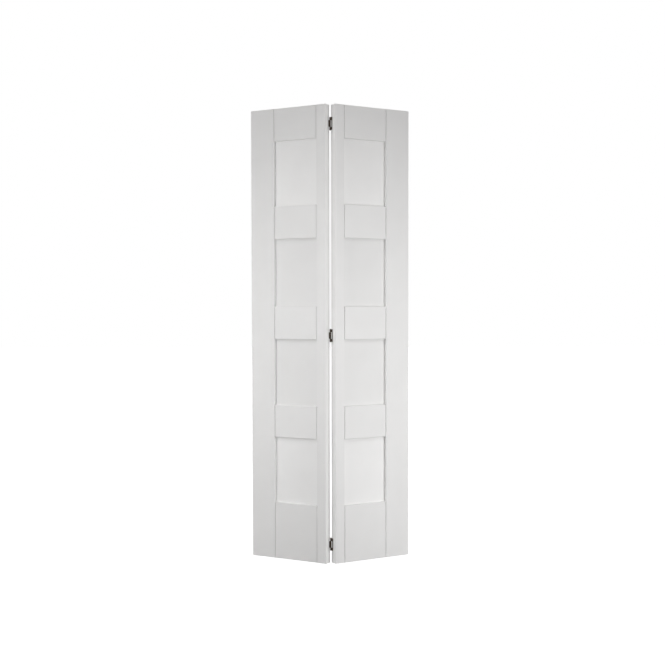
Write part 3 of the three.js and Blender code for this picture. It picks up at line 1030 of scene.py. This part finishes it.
def spread_end(piece, end, way, radius):
    """Presses one end of the wire into a button."""
    choose(piece, "FACE", lambda at: abs(at.z - end) < TOUCHING)
    push(0, 0, 0)
    spread = radius / PIN_RADIUS
    bpy.ops.transform.resize(value=(spread, spread, 1), center_override=(0, 0, end))
    push(0, 0, way * PIN_HEAD_HEIGHT / 2)
    push(0, 0, way * PIN_HEAD_HEIGHT / 2)
    drawn_in = 1 - PIN_HEAD_HEIGHT / radius
    bpy.ops.transform.resize(value=(drawn_in, drawn_in, 1), center_override=(0, 0, end))


def hinge_pin():
    """A model of the middle hinge's pin."""
    low, high = flat_box("middle_hinge_pin", "right")
    ends = ((low.z + PIN_HEAD_HEIGHT, -1), (high.z - PIN_HEAD_HEIGHT, 1))
    piece = rod("pin_model", PIN_RADIUS, (0, 0, ends[0][0]), (0, 0, ends[1][0]), PIN_SIDES)
    edit(piece)
    for end, way in ends:
        spread_end(piece, end, way, high.x)
    rims = [end + way * share * PIN_HEAD_HEIGHT for end, way in ends for share in (0.5, 1)]
    choose(piece, "EDGE", lambda at: any(abs(at.z - rim) < TOUCHING for rim in rims))
    bpy.ops.mesh.bevel(offset=RIM_ROUND, segments=2, affect="EDGES")
    close_edit()
    piece.data.materials.append(bronze)
    shade(piece, PIN_SHARP_ANGLE)
    return piece


stand_copies(hinge_pin(), "middle_hinge_pin", [f"{level}_hinge_pin" for level in LEVELS],
             "right")

# %% [markdown]
# ## The screws
# A wood screw has a countersunk head, a shank and a long point. It is modelled once,
# lying along x with the face of its head on the origin: a cone for the head, whose
# narrow end is pushed out to the shank and pushed again to the point. Three bars could
# be joined instead, but a pushed form is closed from the start and leaves no seams.

# %% A screw's body
SCREW_LENGTH = 18.9 * MM
SCREW_POINT = 4 * MM
POINT_TAPER = 0.02    # the tip's width, as a share of the shank's

neck = SCREW_HEAD_RADIUS - SCREW_RADIUS    # the cone slopes at 45 degrees
screw = rod("screw_model", SCREW_HEAD_RADIUS, (0, 0, 0), (neck, 0, 0), HOLE_SIDES, SCREW_RADIUS)
edit(screw)
choose(screw, "FACE", lambda at: abs(at.x - neck) < TOUCHING)
push(SCREW_LENGTH - SCREW_POINT - neck, 0, 0)
push(SCREW_POINT, 0, 0)
bpy.ops.transform.resize(value=(1, POINT_TAPER, POINT_TAPER),
                         center_override=(SCREW_LENGTH, 0, 0))
close_edit()
screw.data.materials.append(screw_bronze)
print("The screw is", SCREW_LENGTH / MM, "mm long")

# %% [markdown]
# A driver turns it by a cross recess, which is two wings that narrow towards their
# depth, set at a right angle to each other. They could be inset and pushed into the
# head, but two blocks that are cut out keep its round outline as it is.

# %% The cross recess
RECESS_REACH = 1.75 * MM
RECESS_WIDTH = 0.8 * MM
RECESS_DEPTH = 1.7 * MM
FLOOR_REACH, FLOOR_WIDTH = 0.35, 0.7    # the recess's floor, as shares of its mouth
SCREW_ROUND = 0.08 * MM
SCREW_SHARP_ANGLE = 35

wings = []
for turn in (0, 90):
    wing = block("recess_wing", (-SCREW_ROOM, -RECESS_REACH, -RECESS_WIDTH / 2),
                 (RECESS_DEPTH, RECESS_REACH, RECESS_WIDTH / 2))
    edit(wing)
    choose(wing, "FACE", lambda at: abs(at.x - RECESS_DEPTH) < TOUCHING)
    bpy.ops.transform.resize(value=(1, FLOOR_REACH, FLOOR_WIDTH),
                             center_override=(RECESS_DEPTH, 0, 0))
    bpy.ops.object.mode_set(mode="OBJECT")
    wing.data.transform(Matrix.Rotation(math.radians(turn), 4, "X"))
    wings.append(wing)
combine(screw, "DIFFERENCE", wings, screw_bronze)
round_edges(screw, SCREW_ROUND, SCREW_SHARP_ANGLE)
print("The head has", len(screw.data.polygons), "faces")

# %% [markdown]
# A thread is a groove that winds round the shank. Plain rings would be quicker, but
# they don't climb. So the Screw modifier winds an open outline of the groove into a
# coil, whose two ends are then closed, and the coil is cut out of the shank. The real
# pitch is kept, so each turn shows.

# %% The thread
THREAD_PITCH = 1.3 * MM
THREAD_DEPTH = 0.35 * MM
THREAD_WIDTH = 1.0 * MM
THREAD_ROOT = 0.6    # the groove's width at its root, as a share of its width
THREAD_START = 3.2 * MM
THREAD_TURNS = 11
THREAD_STEPS = 32

groove_middle = THREAD_START + THREAD_WIDTH / 2
groove = sheet("thread_cutter", (groove_middle, SCREW_RADIUS, 0), THREAD_WIDTH, 2 * THREAD_DEPTH)
edit(groove)
choose(groove, "VERT", lambda at: at.y < SCREW_RADIUS)
bpy.ops.transform.resize(value=(THREAD_ROOT, 1, 1), center_override=(groove_middle, 0, 0))
bpy.ops.mesh.select_all(action="SELECT")
bpy.ops.mesh.delete(type="ONLY_FACE")
bpy.ops.object.mode_set(mode="OBJECT")
apply_modifier(groove, "SCREW", axis="X", screw_offset=THREAD_PITCH, iterations=THREAD_TURNS,
               steps=THREAD_STEPS, render_steps=THREAD_STEPS)
edit(groove)
bpy.ops.mesh.select_all(action="SELECT")
bpy.ops.mesh.fill_holes(sides=0)
close_edit()
combine(screw, "DIFFERENCE", [groove], screw_bronze)
tidy(screw)
shade(screw, SCREW_SHARP_ANGLE)

across_map = screw.data.uv_layers.new(name=SCREW_MAP)
for corner in screw.data.loops:
    place = screw.data.vertices[corner.vertex_index].co
    across_map.data[corner.index].uv = (place.y / MM, place.z / MM)
print("The threaded screw has", len(screw.data.polygons), "faces")

# %% [markdown]
# Nobody lines up the recesses when driving screws, so each of the twelve copies is
# turned a little further than the last.

# %% The twelve screws
DRIVE_TURN = 37    # degrees, so that no two recesses stand alike


def drive(level, side, place, turn):
    """A copy of the screw, driven into one hole with its recess at a turn of its own."""
    node = f"{level}_hinge_{side}_screw_{place}"
    low, high = flat_box(node, side)
    way = TURN_SIGN[side]
    head = Vector((low.x if way > 0 else high.x, (low.y + high.y) / 2, (low.z + high.z) / 2))
    aim = Matrix.Rotation(0 if way > 0 else math.pi, 4, "Z")
    move = Matrix.Translation(head) @ aim @ Matrix.Rotation(math.radians(turn), 4, "X")
    stand_in(copy_of(screw, node + "_finished", move), node, side)


holes = [(level, side, place)
         for level in LEVELS for side in TURN_SIGN for place in ("low", "high")]
for count, hole in enumerate(holes, 1):
    drive(*hole, count * DRIVE_TURN)
bpy.data.objects.remove(screw)

# %% [markdown]
# ## A white studio
# In a catalogue the door stands on nothing but white. A floor that is lit to white
# would throw too much light back at the door, so what the camera sees and what the
# lamps see are kept apart: for the camera, and for reflections, the floor glows nearly
# white by itself, which leaves a faint shadow at the door's foot, and further out it is
# wholly white. For light that bounces it is a plain grey.

# %% The floor
FLOOR_SIZE = 60.0
FLOOR_BOUNCE = "#A0A0A0"
FLOOR_SEEN = "#A6A6A6"
GLOW_NEAR = 0.80
GLOW_FROM, GLOW_TO = 0.8, 2.6    # metres from the door's middle


def is_seen(tree):
    """One for what the camera sees, straight or in a shiny or clear thing, else zero."""
    path = add_node(tree, "ShaderNodeLightPath")
    seen = path.outputs["Is Camera Ray"]
    for ray in ("Is Glossy Ray", "Is Transmission Ray"):
        seen = add_node(tree, "ShaderNodeMath", {0: seen, 1: path.outputs[ray]},
                        operation="MAXIMUM").outputs[0]
    return seen


floor = sheet("studio_floor", (0, 0, 0), FLOOR_SIZE, FLOOR_SIZE)
paint = bpy.data.materials.new("studio_floor_paint")
paint.use_nodes = True
tree = paint.node_tree
tree.nodes.clear()
place = add_node(tree, "ShaderNodeTexCoord").outputs["Object"]
reach = add_node(tree, "ShaderNodeVectorMath", {0: place}, operation="LENGTH").outputs["Value"]
glow_strength = add_node(tree, "ShaderNodeMapRange", {
    "Value": reach, "From Min": GLOW_FROM, "From Max": GLOW_TO,
    "To Min": GLOW_NEAR, "To Max": 1.0}, interpolation_type="SMOOTHSTEP").outputs[0]
glow = add_node(tree, "ShaderNodeEmission", {"Strength": glow_strength}).outputs[0]
matt = add_node(tree, "ShaderNodeBsdfDiffuse", {"Color": linear(FLOOR_SEEN)}).outputs[0]
white = add_node(tree, "ShaderNodeAddShader", {0: glow, 1: matt}).outputs[0]
bounce = add_node(tree, "ShaderNodeBsdfDiffuse", {"Color": linear(FLOOR_BOUNCE)}).outputs[0]
pick = add_node(tree, "ShaderNodeMixShader", {0: is_seen(tree), 1: bounce, 2: white}).outputs[0]
add_node(tree, "ShaderNodeOutputMaterial", {"Surface": pick})
floor.data.materials.append(paint)
print("The floor is white from", GLOW_TO, "m out")

# %% [markdown]
# The walls of the studio are far away, so the world stands for them: white where the
# camera or a reflection meets it, and a weak, slightly warm light from all sides for
# everything else. It keeps the sides that no lamp reaches from going black.

# %% The world
WORLD_LIGHT = 0.3
WORLD_WARMTH = "#FFFBFC"

world = bpy.data.worlds.new("studio_white")
bpy.context.scene.world = world
world.use_nodes = True
tree = world.node_tree
tree.nodes.clear()
walls = add_node(tree, "ShaderNodeBackground", {
    "Color": linear(WORLD_WARMTH), "Strength": WORLD_LIGHT}).outputs[0]
backdrop = add_node(tree, "ShaderNodeBackground", {
    "Color": linear("#FFFFFF"), "Strength": 1.0}).outputs[0]
pick = add_node(tree, "ShaderNodeMixShader", {
    0: is_seen(tree), 1: walls, 2: backdrop}).outputs[0]
add_node(tree, "ShaderNodeOutputWorld", {"Surface": pick})
print("The world gives", WORLD_LIGHT, "of full light")

# %% [markdown]
# ## The lamps
# The door is brightest between knee and chest and falls off towards its head and foot,
# its right leaf is brighter low down, and a thin shadow lines the outer side of every
# opening. So the light comes from two sides: one pair of softboxes on the left and one
# on the right, each pair with a lamp at chest height and one near the floor. They stand
# so far round that each stile throws its shadow into the openings beside it. A lamp
# with a grid, which keeps its light in a narrow beam, hangs high in front, and one
# overhead keeps the tops of the rails pale. Two more stand behind, for whoever walks
# round the door. Each faces the back of one leaf squarely, which lights it evenly.

# %% The softboxes
def softbox(name, azimuth, distance, height, aim, size, power, beam=180):
    """A soft square lamp that stands at an angle from the front, aimed at a height."""
    turn = math.radians(azimuth)
    place = Vector((distance * math.sin(turn), -distance * math.cos(turn), height))
    aim_turn = (Vector((0, 0, aim)) - place).to_track_quat("-Z", "Y").to_euler()
    bpy.ops.object.light_add(type="AREA", location=place, rotation=aim_turn)
    lamp = bpy.context.object
    lamp.name = name
    lamp.data.size = size
    lamp.data.energy = power
    lamp.data.spread = math.radians(beam)
    lamp.visible_camera = False


# Each lamp's turn from the front in degrees, its distance, its height, the height that
# it is aimed at, its size, its power in watts and, with a grid, the angle of its beam.
LAMPS = {
    "left_softbox": (-54, 2.4, 1.3, 1.2, 0.9, 21.6),
    "left_low_softbox": (-54, 1.5, 0.6, 0.6, 0.6, 2.0),
    "right_softbox": (54, 2.4, 1.3, 1.2, 0.9, 8.4),
    "right_low_softbox": (54, 2.4, 0.5, 0.5, 0.9, 22.0),
    "high_gridded_softbox": (0, 2.4, 3.2, 0.9, 0.7, 1.4, 40),
    "overhead_softbox": (0, 0.0, 3.8, 0.0, 1.0, 3.0, 60),
    "right_back_softbox": (150, 2.6, 1.4, 1.5, 1.2, 20),
    "left_back_softbox": (-150, 2.6, 1.4, 1.5, 1.2, 20),
}
for name, settings in LAMPS.items():
    softbox(name, *settings)
print(len(LAMPS), "lamps are up")
